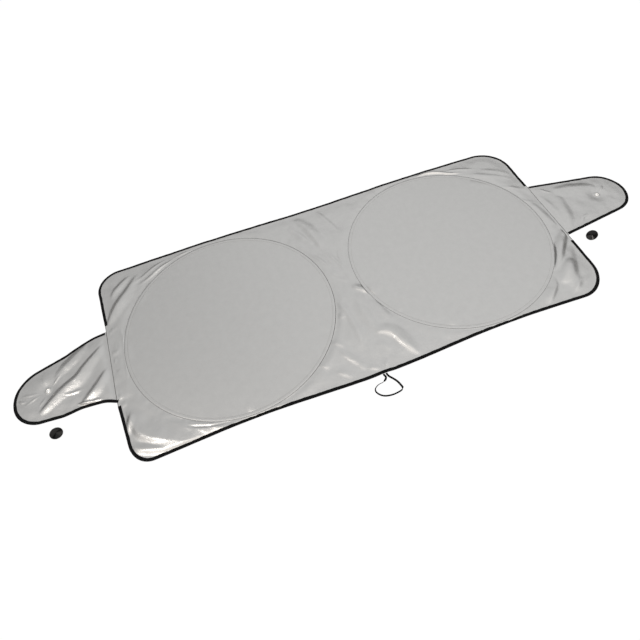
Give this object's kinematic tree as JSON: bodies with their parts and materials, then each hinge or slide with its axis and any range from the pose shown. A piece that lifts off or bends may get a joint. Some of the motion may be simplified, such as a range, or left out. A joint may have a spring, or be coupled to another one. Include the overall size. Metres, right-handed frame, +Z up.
{
  "type": "windscreen frost cover",
  "caption": "Pop-up windscreen cover of silver coated cloth, held open by wire hoops, with side ears, eyelets, suction cups and an elastic loop.",
  "frame": {"origin": "middle of the cover's outline, on the surface that it lies on", "axes": "+X along the cover from the left ear to the right ear, +Y towards the far edge, +Z up from the surface, on the silver side"},
  "size_m": [2.1383, 0.7756, 0.0291],
  "materials": {
    "silver_cloth": "satin silver coating",
    "black_binding": "matt woven tape",
    "black_elastic": "matt woven elastic",
    "spring_steel": "bright drawn",
    "nickel_plate": "nickel plated",
    "black_rubber": "smooth and glossy"
  },
  "bodies": {
    "root": {"main_panel": "silver_cloth", "ear_left": "silver_cloth", "ear_right": "silver_cloth", "hoop_channel_left": "silver_cloth", "hoop_channel_right": "silver_cloth", "hoop_wire_left": "spring_steel", "hoop_wire_right": "spring_steel", "panel_binding_far": "black_binding", "panel_binding_near": "black_binding", "ear_binding_left": "black_binding", "ear_binding_right": "black_binding", "eyelet_left": "nickel_plate", "eyelet_right": "nickel_plate", "eyelet_washer_left": "nickel_plate", "eyelet_washer_right": "nickel_plate", "elastic_loop": "black_elastic", "suction_cup_left": "black_rubber", "suction_cup_right": "black_rubber"}
  },
  "joints": []
}
